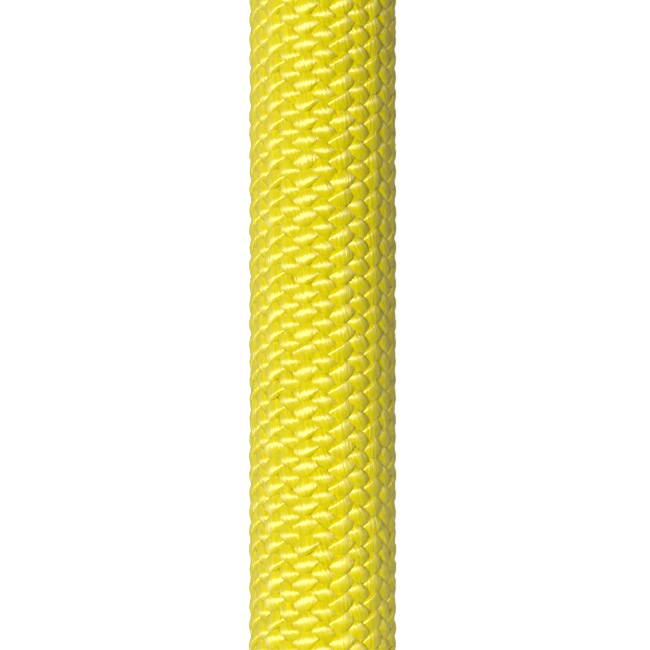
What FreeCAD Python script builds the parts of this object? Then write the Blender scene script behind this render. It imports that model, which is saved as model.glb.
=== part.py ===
import FreeCAD, Part
import math
import os

import Sketcher

# Dynamic climbing rope: 20 m of 10 mm kernmantle rope, put away as a neat round coil.
#
# Millimetres. The origin is on the rope's axis, in the middle of the straight lead that comes out
# of the coil. +Y runs along the lead towards the coil, -Y towards its free end, and +Z is up, so
# the surface that the rope lies on is one rope radius below the origin.
#
# A kernmantle rope is a braided sheath round a core of parallel twisted strands. In the lead the
# sheath, each strand, the tape and the tracer yarn are solids of their own. In the coil the same
# sheath and core go round as two tubes, one inside the other.

# Driving dimensions, one cell each: name, value, what it is.
DIMENSIONS = [
    ("rope_diameter", 10.0, "outside of the braided sheath"),
    ("rope_length", 20000.0, "whole rope, from end to end"),
    ("sheath_wall", 1.1, "thickness of the braid"),
    ("strand_diameter", 1.75, "one twisted core strand"),
    ("strand_gap", 0.04, "between strands that lie side by side"),
    ("inner_strands", 4, "strands round the tracer yarn"),
    ("outer_strands", 8, "strands under the sheath"),
    ("tracer_diameter", 0.6, "tracer yarn in the middle of the core"),
    ("tape_width", 1.4, "identification tape, across"),
    ("tape_thickness", 0.2, "identification tape"),
    ("core_clearance", 0.15, "between the coil's core and its sheath"),
    ("lead_below", 52.0, "from the origin down to the free end"),
    ("lead_above", 112.0, "from the origin up to where the rope starts to bend"),
    ("tail_reach", 42.0, "straight end of the rope that lies on the coil"),
    ("turn_gap", 0.9, "between turns side by side"),
    ("layer_gap", 0.5, "between one layer and the next"),
    ("layers", 4, "layers of the coil"),
    ("lanes", 6, "turns side by side in a layer"),
    ("melt_cap", 3.0, "fused end, the part in front of the sheath"),
    ("melt_plug", 5.0, "fused end, the part inside the sheath"),
    ("melt_edge", 0.8, "bevel round the fused end"),
    ("neck_depth", 0.4, "how far the end band squeezes the sheath in"),
    ("band_length", 25.0, "from the rope's tip to the end band's far edge"),
    ("band_wall", 0.3, "end band"),
    ("band_setback", 1.0, "fused end left bare in front of the band"),
    ("fit_gap", 0.05, "between pieces that are fitted together"),
    ("tie_width", 20.0, "woven tie round the bundle of turns"),
    ("tie_thickness", 0.8, "woven tie"),
    ("tie_gap", 0.3, "between a tie and the turns"),
    ("tie_overlap", 26.0, "length of the tie's stitched end, on its outer face"),
]

# Where the ties sit, in degrees round the coil with +X at 0. The first one is just above the end
# of the rope and holds it down.
TIE_ANGLES = [30.0, 150.0, 270.0]

# The rope's section and ends, as expressions of the sheet's cells. Along the rope they are
# distances from its tip.
ROPE = "rope_diameter / 2"
BORE = "rope_diameter / 2 - sheath_wall"
NECK = "rope_diameter / 2 - neck_depth"
MELT_SEAT = "rope_diameter / 2 - sheath_wall - fit_gap"
CORE = "rope_diameter / 2 - sheath_wall - core_clearance"
SHEATH_START = "melt_cap + fit_gap"
SHOULDER = "band_length + fit_gap"
MELT_END = "melt_cap + melt_plug"
CORE_START = "melt_cap + melt_plug + fit_gap"
# A coil's tube runs straight for one rope diameter before it bends, and again after.
LEAD_END = "lead_below + lead_above - rope_diameter"
TAIL_END = "tail_reach - rope_diameter"

# The coil spirals in and out in turn, and turns round over the last half turn of a layer. Its
# start rises onto the ties over the first sixteenth of a turn.
HALF_TURN = 0.5
QUARTER_TURN = 0.25
LIFT_TURN = 0.0625
POINTS_PER_ARC = 6

doc = FreeCAD.newDocument("climbing_rope")
sheet = doc.addObject("Spreadsheet::Sheet", "Sizes")
for row, (alias, number, note) in enumerate(DIMENSIONS, start=1):
    sheet.set(f"A{row}", alias)
    sheet.set(f"B{row}", str(number))
    sheet.setAlias(f"B{row}", alias)
    sheet.set(f"C{row}", note)
doc.recompute()
size = {alias: float(sheet.get(alias)) for alias, _, _ in DIMENSIONS}


def cell(text):
    """An expression in which each name of a cell is looked up in the sheet."""
    return " ".join(f"Sizes.{word}" if word in size else word for word in text.split())


def value(text):
    """What such an expression is worth now."""
    found = sheet.evalExpression(cell(text))
    return float(getattr(found, "Value", found))


rope_radius = value(ROPE)
turn_pitch = value("rope_diameter + turn_gap")
layer_pitch = value("rope_diameter + layer_gap")
layers = int(size["layers"])
lanes = int(size["lanes"])
turns = layers * lanes - HALF_TURN
steady_turns = lanes - HALF_TURN
# The bottom turns lie on the ties, so the coil is that much higher than the lead.
coil_lift = value("tie_thickness + fit_gap")


# The coil's route


def lane_offset(turn):
    """How far the rope has moved in from the outermost lane after so many turns, and how fast it
    moves in there, per turn."""
    layer = min(int(turn // lanes), layers - 1)
    along = turn - layer * lanes
    moved = turn_pitch * along
    rate = turn_pitch
    if along > steady_turns and layer < layers - 1:
        back = along - steady_turns
        moved = turn_pitch * (steady_turns + back - back * back / HALF_TURN)
        rate = turn_pitch * (1 - 2 * back / HALF_TURN)
    if layer % 2 == 0:
        return moved, rate
    return turn_pitch * steady_turns - moved, -rate


def rise(share):
    """A rise from 0 to 1 that starts and ends level, and its slope."""
    share = min(max(share, 0.0), 1.0)
    return share * share * (3 - 2 * share), 6 * share * (1 - share)


def coil_height(turn):
    """Height of the rope's axis above the lead's after so many turns, and how fast it climbs
    there, per turn."""
    climbed, slope = rise(turn / LIFT_TURN)
    height = coil_lift * climbed
    rate = coil_lift * slope / LIFT_TURN
    for layer in range(1, layers):
        climbed, slope = rise((turn - layer * lanes + HALF_TURN) / HALF_TURN)
        height += layer_pitch * climbed
        rate += layer_pitch * slope / HALF_TURN
    return height, rate


def mean_offset():
    """The average of the offset over all turns."""
    steps = int(turns * 360)
    return sum(lane_offset(turns * (k + 0.5) / steps)[0] for k in range(steps)) / steps


curved_length = value("rope_length - lead_below - lead_above - tail_reach")
coil_radius = curved_length / (2 * math.pi * turns) + mean_offset()
coil_centre = FreeCAD.Vector(coil_radius, size["lead_above"], 0)
lead_way = FreeCAD.Vector(0, 1, 0)


def station(turn):
    """A point of the route and the direction there. The coil lies to the right of the lead, and
    the rope goes round it clockwise, seen from above."""
    angle = math.pi - 2 * math.pi * turn
    offset, offset_rate = lane_offset(turn)
    height, height_rate = coil_height(turn)
    outwards = FreeCAD.Vector(math.cos(angle), math.sin(angle), 0)
    onwards = FreeCAD.Vector(math.sin(angle), -math.cos(angle), 0)
    radius = coil_radius - offset
    point = coil_centre + outwards * radius + FreeCAD.Vector(0, 0, height)
    if turn == 0:
        return point, lead_way
    way = onwards * (2 * math.pi * radius) - outwards * offset_rate
    return point, (way + FreeCAD.Vector(0, 0, height_rate)).normalize()


def arc_to(start, way, end):
    """The arc that leaves start in the direction way and reaches end."""
    chord = end - start
    aside = way - chord * (way.dot(chord) / chord.dot(chord))
    crown = (start + end) / 2
    crown += aside.normalize() * (chord.Length / 2 * math.tan(way.getAngle(chord) / 2))
    return Part.Arc(start, crown, end).toShape()


def biarc(start, way_out, end, way_in):
    """Two arcs from start to end that keep both directions and meet without a corner."""
    chord = end - start
    a = 2 * (1 - way_out.dot(way_in))
    b = 2 * chord.dot(way_out + way_in)
    reach = (math.sqrt(b * b + 4 * a * chord.dot(chord)) - b) / (2 * a)
    corner_out = start + way_out * reach
    corner_in = end - way_in * reach
    joint = (corner_out + corner_in) / 2
    way = (corner_in - corner_out).normalize()
    return [arc_to(start, way_out, joint), arc_to(joint, way, end)]


def coil_route():
    """The coil's wire: a straight end, a biarc for each quarter turn, and a straight end."""
    straight = size["rope_diameter"]
    first, way = station(0)
    edges = [Part.LineSegment(first - way * straight, first).toShape()]
    quarters = [QUARTER_TURN * (k + 1) for k in range(int(turns / QUARTER_TURN))]
    stops = [0, LIFT_TURN] + quarters
    for here, there in zip(stops, stops[1:]):
        edges += biarc(*station(here), *station(there))
    last, way = station(turns)
    edges.append(Part.LineSegment(last, last + way * straight).toShape())
    return Part.Wire(edges)


def least_gap(wire):
    """The least gap between two turns of the rope, measured on points of its route."""
    points = []
    for edge in wire.Edges[1:-1]:
        first, last = edge.ParameterRange
        step = (last - first) / POINTS_PER_ARC
        points += [edge.valueAt(first + step * k) for k in range(POINTS_PER_ARC)]
    quarter = 2 * POINTS_PER_ARC
    least = min(
        points[i].distanceToPoint(points[j])
        for i in range(len(points))
        for j in range(i + quarter, len(points))
    )
    return least - size["rope_diameter"]


def tube_along(wire, radius):
    """A round bar of that radius that follows the wire."""
    first = wire.Edges[0]
    start = first.valueAt(first.FirstParameter)
    ring = Part.Wire([Part.makeCircle(radius, start, first.tangentAt(first.FirstParameter))])
    return wire.makePipeShell([ring], True, False)


# The document's features


def shaped(label, shape):
    """A piece whose shape is worked out here."""
    piece = doc.addObject("Part::Feature", label)
    piece.Shape = shape
    piece.Label = label
    return piece


def hold(sketch, kind, line, text):
    """Keeps the start of a line at that distance from the origin, or on the axis if it is 0."""
    if text == "0":
        axis = -2 if kind == "DistanceX" else -1
        sketch.addConstraint(Sketcher.Constraint("PointOnObject", line, 1, axis))
        return
    held = sketch.addConstraint(Sketcher.Constraint(kind, -1, 1, line, 1, value(text)))
    sketch.setExpression(f"Constraints[{held}]", cell(text))


def turned(label, placement, corners):
    """A body turned about the rope's axis. Each corner of its half section is a distance from
    the rope's tip and a radius."""
    body = doc.addObject("PartDesign::Body", label)
    body.Label = label
    sketch = body.newObject("Sketcher::SketchObject", label + "_section")
    plane = [f for f in body.Origin.OriginFeatures if f.Role == "XY_Plane"][0]
    sketch.AttachmentSupport = [(plane, "")]
    sketch.MapMode = "FlatFace"
    points = [FreeCAD.Vector(value(along), value(radius), 0) for along, radius in corners]
    for start, end in zip(points, points[1:] + points[:1]):
        sketch.addGeometry(Part.LineSegment(start, end), False)
    for line in range(len(points)):
        after = (line + 1) % len(points)
        sketch.addConstraint(Sketcher.Constraint("Coincident", line, 2, after, 1))
    for line, (along, radius) in enumerate(corners):
        hold(sketch, "DistanceX", line, along)
        hold(sketch, "DistanceY", line, radius)
    revolution = body.newObject("PartDesign::Revolution", label + "_turned")
    revolution.Profile = sketch
    revolution.ReferenceAxis = (sketch, ["H_Axis"])
    revolution.Angle = 360.0
    body.Placement = placement
    return body


def rod(label, radius, across, above):
    """A round strand of the lead's core, beside the rope's axis and above it."""
    piece = doc.addObject("Part::Cylinder", label)
    piece.Label = label
    piece.setExpression("Radius", cell(radius))
    piece.setExpression("Height", cell(f"( {LEAD_END} ) - ( {CORE_START} )"))
    turn = FreeCAD.Rotation(FreeCAD.Vector(1, 0, 0), -90)
    piece.Placement = FreeCAD.Placement(FreeCAD.Vector(across, 0, above), turn)
    piece.setExpression("Placement.Base.y", cell(f"{CORE_START} - lead_below"))
    return piece


def rope_end(name, length, placement):
    """An end of the rope: the fused end, the sheath behind it, and the band that squeezes both."""
    melt = [
        ("0", "0"),
        (MELT_END, "0"),
        (MELT_END, MELT_SEAT),
        ("melt_cap", MELT_SEAT),
        ("melt_cap", NECK),
        ("melt_edge", NECK),
        ("0", f"{NECK} - melt_edge"),
    ]
    sheath = [
        (SHEATH_START, BORE),
        (length, BORE),
        (length, ROPE),
        (SHOULDER, ROPE),
        (SHOULDER, NECK),
        (SHEATH_START, NECK),
    ]
    band = [
        ("band_setback", f"{NECK} + fit_gap"),
        ("band_length", f"{NECK} + fit_gap"),
        ("band_length", f"{NECK} + fit_gap + band_wall"),
        ("band_setback", f"{NECK} + fit_gap + band_wall"),
    ]
    return [
        turned(f"{name}_fused_end", placement, melt),
        turned(f"{name}_sheath", placement, sheath),
        turned(f"{name}_end_band", placement, band),
    ]


def strand_rings():
    """Radii of the two rings of strands. Each outer strand lies half a step round from an inner
    one and touches it."""
    spacing = value("strand_diameter + strand_gap")
    inner = spacing / (2 * math.sin(math.pi / size["inner_strands"]))
    half_step = math.pi / size["outer_strands"]
    beside = inner * math.sin(half_step)
    return inner, inner * math.cos(half_step) + math.sqrt(spacing**2 - beside**2)


def core_strands():
    """The twisted strands that carry the load, parallel along the rope."""
    inner, outer = strand_rings()
    half_step = math.pi / size["outer_strands"]
    places = []
    for ring, count, first in (
        (inner, int(size["inner_strands"]), 0.0),
        (outer, int(size["outer_strands"]), half_step),
    ):
        for k in range(count):
            angle = first + 2 * math.pi * k / count
            places.append((ring * math.cos(angle), ring * math.sin(angle)))
    return [
        rod(f"core_strand_{number:02d}", "strand_diameter / 2", across, above)
        for number, (across, above) in enumerate(places, start=1)
    ]


def tracer_yarn():
    """The coloured yarn in the middle of the core."""
    return rod("tracer_yarn", "tracer_diameter / 2", 0, 0)


def identification_tape():
    """The thin tape that runs along the core, on edge between two outer strands."""
    tape = doc.addObject("Part::Box", "identification_tape")
    tape.Label = "identification_tape"
    tape.setExpression("Length", cell("tape_width"))
    tape.setExpression("Width", cell(f"( {LEAD_END} ) - ( {CORE_START} )"))
    tape.setExpression("Height", cell("tape_thickness"))
    inner, _ = strand_rings()
    nearest = inner + value("strand_diameter / 2 + strand_gap")
    tape.Placement.Base = FreeCAD.Vector(nearest, 0, 0)
    tape.setExpression("Placement.Base.y", cell(f"{CORE_START} - lead_below"))
    tape.setExpression("Placement.Base.z", cell("0 - tape_thickness / 2"))
    return tape


def lead():
    """The straight stretch between the free end and the coil."""
    along_y = FreeCAD.Rotation(FreeCAD.Vector(1, 0, 0), lead_way)
    tip = FreeCAD.Vector(0, -size["lead_below"], 0)
    ends = rope_end("lead", LEAD_END, FreeCAD.Placement(tip, along_y))
    return ends + core_strands() + [tracer_yarn(), identification_tape()]


def tail():
    """The other end of the rope, which lies on the coil."""
    last, way = station(turns)
    tip = last + way * size["tail_reach"]
    placement = FreeCAD.Placement(tip, FreeCAD.Rotation(FreeCAD.Vector(1, 0, 0), way * -1))
    core = [(CORE_START, "0"), (TAIL_END, "0"), (TAIL_END, CORE), (CORE_START, CORE)]
    return rope_end("tail", TAIL_END, placement) + [turned("tail_core", placement, core)]


def coil():
    """The coiled rope: the sheath as a hollow tube, and the core inside it."""
    route = coil_route()
    outside = tube_along(route, rope_radius)
    sheath = outside.cut(tube_along(route, value(BORE)))
    core = tube_along(route, value(CORE))
    straight = value("lead_below + lead_above + tail_reach - 2 * rope_diameter")
    print(f"rope {straight + route.Length:.1f} mm, coil radius {coil_radius:.2f} mm")
    print(f"least gap of the coil to itself {least_gap(route):.2f} mm")
    section = math.pi * rope_radius**2
    print(f"tube volume over section times length {outside.Volume / section / route.Length:.5f}")
    return [shaped("coil_sheath", sheath), shaped("coil_core", core)]


def rounded_block(name, low, high, radius):
    """A block whose four edges along Y are rounded."""
    block = doc.addObject("Part::Box", name + "_block")
    block.Length, block.Width, block.Height = high - low
    block.Placement.Base = low
    doc.recompute()
    rounded = doc.addObject("Part::Fillet", name + "_rounded")
    rounded.Base = block
    rounded.Edges = [
        (number, radius, radius)
        for number, edge in enumerate(block.Shape.Edges, start=1)
        if abs(edge.tangentAt(edge.FirstParameter).y) > 0.5
    ]
    return rounded


def tie(number, angle):
    """A woven tie round the bundle of turns: a flat band whose end is stitched down on its
    outer face. It is modelled on the +X side of the coil's centre and turned into place."""
    label = f"coil_tie_{number}"
    half = size["tie_width"] / 2
    thickness = size["tie_thickness"]
    first_pass = ((180 - angle) % 360) / 360
    passes = [first_pass + k for k in range(layers * lanes) if first_pass + k <= turns]
    radii = [coil_radius - lane_offset(turn)[0] for turn in passes]
    # The band is flat across its width, so the round of the coil's inside stands into it.
    inside = min(radii) - rope_radius
    inside = math.sqrt(inside**2 - half**2) - size["tie_gap"]
    outside = max(radii) + rope_radius + size["tie_gap"]
    top = coil_height(turns)[0] + value("rope_diameter + tie_gap")
    opening_low = FreeCAD.Vector(inside, -half, thickness)
    opening_high = FreeCAD.Vector(outside, half, top)
    wall = FreeCAD.Vector(thickness, 0, thickness)
    band = doc.addObject("Part::Cut", label + "_band")
    band.Base = rounded_block(
        label + "_outer", opening_low - wall, opening_high + wall, rope_radius + thickness
    )
    band.Tool = rounded_block(label + "_inner", opening_low, opening_high, rope_radius)
    middle = (top + thickness) / 2
    reach = size["tie_overlap"] / 2
    flap = doc.addObject("Part::Box", label + "_flap")
    flap.Length = thickness
    flap.Width = 2 * half
    flap.Height = 2 * reach
    flap.Placement.Base = FreeCAD.Vector(outside + thickness, -half, middle - reach)
    whole = doc.addObject("Part::Fuse", label)
    whole.Base = band
    whole.Tool = flap
    whole.Label = label
    whole.Placement = FreeCAD.Placement(
        coil_centre - FreeCAD.Vector(0, 0, rope_radius),
        FreeCAD.Rotation(FreeCAD.Vector(0, 0, 1), angle),
    )
    return whole


def check(pieces):
    """Stops before anything is written if a feature failed or a piece isn't a sound solid."""
    for item in doc.Objects:
        if "Invalid" in item.State or "Error" in item.State:
            raise RuntimeError(f"{item.Label} failed: {item.State}")
    for piece in pieces:
        if piece.Shape.isNull() or not piece.Shape.isValid() or not piece.Shape.Solids:
            raise RuntimeError(f"{piece.Label} isn't a sound solid")


pieces = lead() + tail() + coil()
pieces += [tie(number, angle) for number, angle in enumerate(TIE_ANGLES, start=1)]
doc.recompute()
check(pieces)
os.makedirs("parts", exist_ok=True)
for piece in pieces:
    piece.Shape.exportStep(f"parts/{piece.Label}.step")
print(f"{len(pieces)} pieces")
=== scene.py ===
import math
from collections import namedtuple

import bmesh
import bpy
import numpy as np
from mathutils import Matrix, Vector, noise


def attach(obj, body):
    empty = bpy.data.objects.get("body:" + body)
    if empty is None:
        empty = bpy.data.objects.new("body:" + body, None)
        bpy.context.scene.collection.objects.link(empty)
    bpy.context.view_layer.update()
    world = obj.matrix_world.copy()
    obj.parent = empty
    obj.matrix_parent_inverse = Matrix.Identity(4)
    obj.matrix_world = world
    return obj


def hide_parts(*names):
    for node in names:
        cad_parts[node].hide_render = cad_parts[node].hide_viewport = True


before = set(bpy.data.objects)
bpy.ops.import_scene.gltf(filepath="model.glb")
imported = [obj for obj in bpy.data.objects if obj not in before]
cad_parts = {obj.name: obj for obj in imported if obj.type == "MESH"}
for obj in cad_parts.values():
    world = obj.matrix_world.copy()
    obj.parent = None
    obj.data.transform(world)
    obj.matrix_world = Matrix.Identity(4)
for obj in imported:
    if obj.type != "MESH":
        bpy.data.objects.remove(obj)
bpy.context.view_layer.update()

# Dynamic climbing rope, 20 m of 10 mm kernmantle rope with a bright yellow braided sheath.
#
# Metres. The origin is on the axis of the straight lead, where the camera looks. +Y runs along the
# lead towards the coil and +Z is up. Along the rope, distances are counted from the lead's tip.
# Round the rope, angles are counted from straight up, towards +X in the lead.

MM = 0.001

# The rope and its route, as it is put away: a straight lead, a flat coil of layers and lanes, which
# climbs a layer within half a turn, and a short straight tail on top
ROPE_DIAMETER = 10 * MM
ROPE_LENGTH = 20000 * MM
LEAD_BELOW = 52 * MM
LEAD_ABOVE = 112 * MM
TAIL_REACH = 42 * MM
TURN_PITCH = 10.9 * MM
LAYER_PITCH = 10.5 * MM
LAYERS = 4
LANES = 6
CLIMB_TURN = 0.5
POINTS_PER_TURN = 24
ROUTE_RESOLUTION = 12
# The coil lies on the tape of its ties, so the rope rises this much as it comes to the first tie
COIL_LIFT = 0.85 * MM
LIFT_TURN = 0.0625

# The braid: 24 yarns each way, two over two, so a yarn goes over and under once in two picks
YARNS_EACH_WAY = 24
PICK = 1.286 * MM
LAY = YARNS_EACH_WAY * PICK
FLOATS_ROUND = YARNS_EACH_WAY // 2
YARN_WIDTH = 1.12 * MM
# The yarns of hand 1 lean towards +X on their way along the lead, and those of hand -1 away from it.
# Each hand has its thickness, how square its section is, how far it swings in and out, how much it
# spreads on top, and how far its filaments turn away from the rope's own direction.
YarnShape = namedtuple("YarnShape", "thickness squareness swing spread filament_turn")
YARN_SHAPES = {
    -1: YarnShape(0.62 * MM, 2.2, 0.28 * MM, 0.05, math.radians(22)),
    1: YarnShape(0.50 * MM, 2.8, 0.30 * MM, 0.13, math.radians(12)),
}
HAND_NAMES = {-1: "left", 1: "right"}
# How much flatter than a plain wave the yarns lie on top
CROWN_FLATNESS = 0.09
# How far the crossings push a yarn to and fro along the rope
SNAKE = 0.12 * MM
# Unevenness of each yarn: how far it strays, how far it rolls, and the seeded waves that it has
WANDER = 0.02 * MM
ROLL = math.radians(5)
WANDER_WAVES = 6
WANDER_LENGTHS = (2.5 * MM, 8 * MM)
# Where the braid starts round the rope and along it, so that its ribs lie as in the photo
WALE_TURN = math.radians(1.2)
BRAID_START = -0.63 * MM

# The ends: a fused cap with a plug inside the sheath, and a shrink band that squeezes the braid
MELT_CAP = 3 * MM
MELT_PLUG = 5 * MM
MELT_RADIUS = 4.58 * MM
PLUG_RADIUS = 3.85 * MM
BAND_START = 1 * MM
BAND_END = 25 * MM
BAND_INSIDE = 4.65 * MM
BAND_WALL = 0.3 * MM
NECK_DEPTH = 0.4 * MM
NECK_EASE = 4 * MM
SHEATH_START = 3.2 * MM

# The ties, woven tape round the bundle of turns, and where they sit, in degrees from +X
TIE_ANGLES = (30, 150, 270)
TIE_WIDTH = 20 * MM
TIE_THICKNESS = 0.8 * MM
TIE_GAP = 0.3 * MM
TIE_OVERLAP = 26 * MM

# The core: twelve strands round a tracer yarn
CORE_STRANDS = 12

rope_radius = ROPE_DIAMETER / 2
turns = LAYERS * LANES - CLIMB_TURN
steady_turns = LANES - CLIMB_TURN


# The route


def smooth(share):
    """A rise from 0 to 1 that starts and ends level."""
    share = np.clip(share, 0, 1)
    return share * share * (3 - 2 * share)


def lane_offset(turn):
    """How far the rope has moved in from the outermost lane after so many turns. It spirals in on
    one layer and out on the next, and turns back while it climbs."""
    layer = min(int(turn // LANES), LAYERS - 1)
    along = turn - layer * LANES
    moved = along
    if along > steady_turns and layer < LAYERS - 1:
        back = along - steady_turns
        moved = steady_turns + back - back * back / CLIMB_TURN
    if layer % 2:
        moved = steady_turns - moved
    return TURN_PITCH * moved


def coil_height(turn):
    """Height of the rope's axis above the lead's after so many turns."""
    layer_rises = sum(
        smooth((turn - layer * LANES + CLIMB_TURN) / CLIMB_TURN) for layer in range(1, LAYERS)
    )
    return COIL_LIFT * smooth(turn / LIFT_TURN) + LAYER_PITCH * layer_rises


# The rope's length gives the coil's radius, with the mean way in taken a degree at a time
ONE_DEGREE = 1 / 360
fine_turns = np.arange(0, turns, ONE_DEGREE) + ONE_DEGREE / 2
mean_offset = np.mean([lane_offset(turn) for turn in fine_turns])
curved_length = ROPE_LENGTH - LEAD_BELOW - LEAD_ABOVE - TAIL_REACH
coil_radius = curved_length / (2 * math.pi * turns) + mean_offset


def route_points():
    """The cord's own points: the lead's straight run, the coil's turns, and the tail's run."""
    half_step = math.pi / POINTS_PER_TURN
    reach = coil_radius * math.tan(half_step)
    points = [(0, -LEAD_BELOW, 0), (0, LEAD_ABOVE - reach, 0)]
    count = round(turns * POINTS_PER_TURN)
    for k in range(count):
        turn = (k + 0.5) / POINTS_PER_TURN
        angle = math.pi - 2 * math.pi * turn
        radius = (coil_radius - lane_offset(turn)) / math.cos(half_step)
        points.append((
            coil_radius + radius * math.cos(angle),
            LEAD_ABOVE + radius * math.sin(angle),
            coil_height(turn),
        ))
    last_radius = coil_radius - lane_offset(turns)
    tail_x = coil_radius + last_radius
    tail_z = coil_height(turns)
    points.append((tail_x, LEAD_ABOVE - last_radius * math.tan(half_step), tail_z))
    points.append((tail_x, LEAD_ABOVE - TAIL_REACH, tail_z))
    return points


def read_route(points):
    """The route as a smooth NURBS line, read back as points close together."""
    curve = bpy.data.curves.new("rope_route", "CURVE")
    curve.dimensions = "3D"
    curve.resolution_u = ROUTE_RESOLUTION
    spline = curve.splines.new("NURBS")
    spline.points.add(len(points) - 1)
    for control, point in zip(spline.points, points):
        control.co = (*point, 1)
    spline.order_u = 3
    spline.use_endpoint_u = True
    holder = bpy.data.objects.new("rope_route", curve)
    line = bpy.data.meshes.new_from_object(holder)
    found = np.array([v.co for v in line.vertices], float)
    bpy.data.meshes.remove(line)
    bpy.data.objects.remove(holder)
    bpy.data.curves.remove(curve)
    return found


route = read_route(route_points())
route_steps = np.linalg.norm(np.diff(route, axis=0), axis=1)
route_along = np.concatenate([[0], np.cumsum(route_steps)])
route_ways = np.gradient(route, route_along, axis=0)
route_length = float(route_along[-1])

# The yarns are modelled one by one from each end to the nearest tie, which hides the change to
# the coil's plain tube, whose finish goes on with the same braid.
tie_arc = math.radians(TIE_ANGLES[0]) * coil_radius
lead_change = LEAD_BELOW + LEAD_ABOVE + tie_arc
tail_change = route_length - TAIL_REACH - tie_arc


def unit(vectors):
    return vectors / np.linalg.norm(vectors, axis=-1, keepdims=True)


def along_route(distances):
    """Places on the rope's axis, with the directions up and sideways there, for angles round
    the rope."""
    places = np.stack([np.interp(distances, route_along, route[:, k]) for k in range(3)], -1)
    ways = unit(np.stack([np.interp(distances, route_along, route_ways[:, k]) for k in range(3)], -1))
    ups = np.zeros_like(ways)
    ups[..., 2] = 1
    ups = unit(ups - ways * np.sum(ups * ways, -1, keepdims=True))
    return places, ups, np.cross(ways, ups)


# Meshes


def rolled_tube(name, rings, sides, uv_name):
    """The mesh of a plain closed tube, and the ring number and the side number of each of its
    vertices. It is a grid, one unit wide, rolled up to a radius of one, with its two long edges
    merged. Its UV map runs round the tube in u and along it in v."""
    bm = bmesh.new()
    uv = bm.loops.layers.uv.new(uv_name)
    ring_of = bm.verts.layers.int.new("ring")
    side_of = bm.verts.layers.int.new("side")
    bmesh.ops.create_grid(bm, x_segments=rings - 1, y_segments=sides, size=0.5)
    for face in bm.faces:
        face.smooth = True
        for loop in face.loops:
            loop[uv].uv = (loop.vert.co.y + 0.5, loop.vert.co.x + 0.5)
    for vertex in bm.verts:
        ring = round((vertex.co.x + 0.5) * (rings - 1))
        side = round((vertex.co.y + 0.5) * sides) % sides
        vertex[ring_of], vertex[side_of] = ring, side
        angle = 2 * math.pi * side / sides
        vertex.co = (math.cos(angle), math.sin(angle), ring)
    bmesh.ops.remove_doubles(bm, verts=bm.verts, dist=0.01)
    bmesh.ops.holes_fill(bm, edges=[edge for edge in bm.edges if edge.is_boundary], sides=0)
    bmesh.ops.recalc_face_normals(bm, faces=bm.faces)
    mesh = bpy.data.meshes.new(name)
    bm.to_mesh(mesh)
    bm.free()
    numbers = []
    for label in ("ring", "side"):
        found = np.zeros(len(mesh.vertices), np.int32)
        mesh.attributes[label].data.foreach_get("value", found)
        numbers.append(found)
        mesh.attributes.remove(mesh.attributes[label])
    return mesh, *numbers


def oval_section(sides, thickness, width, squareness):
    """Places round a flattened oval, outwards and across, one for each side of a rolled tube."""
    angles = 2 * math.pi * np.arange(sides) / sides
    power = 2 / squareness
    high = np.sign(np.cos(angles)) * np.abs(np.cos(angles)) ** power * thickness / 2
    wide = np.sign(np.sin(angles)) * np.abs(np.sin(angles)) ** power * width / 2
    return high, wide


def placed(mesh, points):
    """Puts the vertices of a mesh where they belong."""
    mesh.vertices.foreach_set("co", np.asarray(points, np.float32).ravel())
    mesh.update()
    return mesh


def corners_of(mesh):
    """The vertex number of each face corner of a mesh, in the order of its UV map."""
    found = np.zeros(len(mesh.loops), np.int32)
    mesh.loops.foreach_get("vertex_index", found)
    return found


def set_uv(mesh, u, v):
    """Gives the corners of a mesh their places in its UV map."""
    mesh.uv_layers[0].data.foreach_set("uv", np.stack([u, v], -1).astype(np.float32).ravel())


def turned(name, profile, closed, steps, tip, shape):
    """A mesh turned about the rope's axis at one of its ends. Each corner of the profile is a
    distance from the rope's tip and a radius. Then shape moves its vertices."""
    bm = bmesh.new()
    line = [bm.verts.new((radius, along, 0)) for along, radius in profile]
    for first, second in zip(line, line[1:] + line[:1] if closed else line[1:]):
        bm.edges.new((first, second))
    bmesh.ops.spin(
        bm, geom=bm.verts[:] + bm.edges[:], cent=(0, 0, 0), axis=(0, 1, 0),
        angle=2 * math.pi, steps=steps, use_merge=True,
    )
    bmesh.ops.remove_doubles(bm, verts=bm.verts, dist=0.001 * MM)
    bmesh.ops.recalc_face_normals(bm, faces=bm.faces)
    for vertex in bm.verts:
        vertex.co = shape(vertex.co)
    bmesh.ops.translate(bm, verts=bm.verts, vec=tip)
    for face in bm.faces:
        face.smooth = True
    mesh = bpy.data.meshes.new(name)
    bm.to_mesh(mesh)
    bm.free()
    return mesh


def joined(name, meshes):
    """One mesh of several."""
    bm = bmesh.new()
    for mesh in meshes:
        bm.from_mesh(mesh)
        bpy.data.meshes.remove(mesh)
    whole = bpy.data.meshes.new(name)
    bm.to_mesh(whole)
    bm.free()
    return whole


def piece(name, mesh, material):
    """A finished piece, which rides on the rope's one body."""
    made = bpy.data.objects.new(name, mesh)
    bpy.context.scene.collection.objects.link(made)
    mesh.materials.clear()
    mesh.materials.append(material)
    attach(made, "root")
    return made


# Materials


def colour(code):
    """An sRGB hex value as a linear colour."""
    parts = [int(code[k:k + 2], 16) / 255 for k in (1, 3, 5)]
    linear = [p / 12.92 if p <= 0.04045 else ((p + 0.055) / 1.055) ** 2.4 for p in parts]
    return (*linear, 1)


def add(tree, kind, inputs=None, **settings):
    """Adds a node with its settings, gives its inputs their values or links, and returns its
    outputs."""
    made = tree.nodes.new(kind)
    for name, setting in settings.items():
        setattr(made, name, setting)
    for socket, given in (inputs or {}).items():
        if isinstance(given, bpy.types.NodeSocket):
            tree.links.new(given, made.inputs[socket])
        else:
            made.inputs[socket].default_value = given
    return made.outputs


def new_material(name):
    made = bpy.data.materials.new(name)
    made.use_nodes = True
    made.node_tree.nodes.clear()
    return made, made.node_tree


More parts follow.
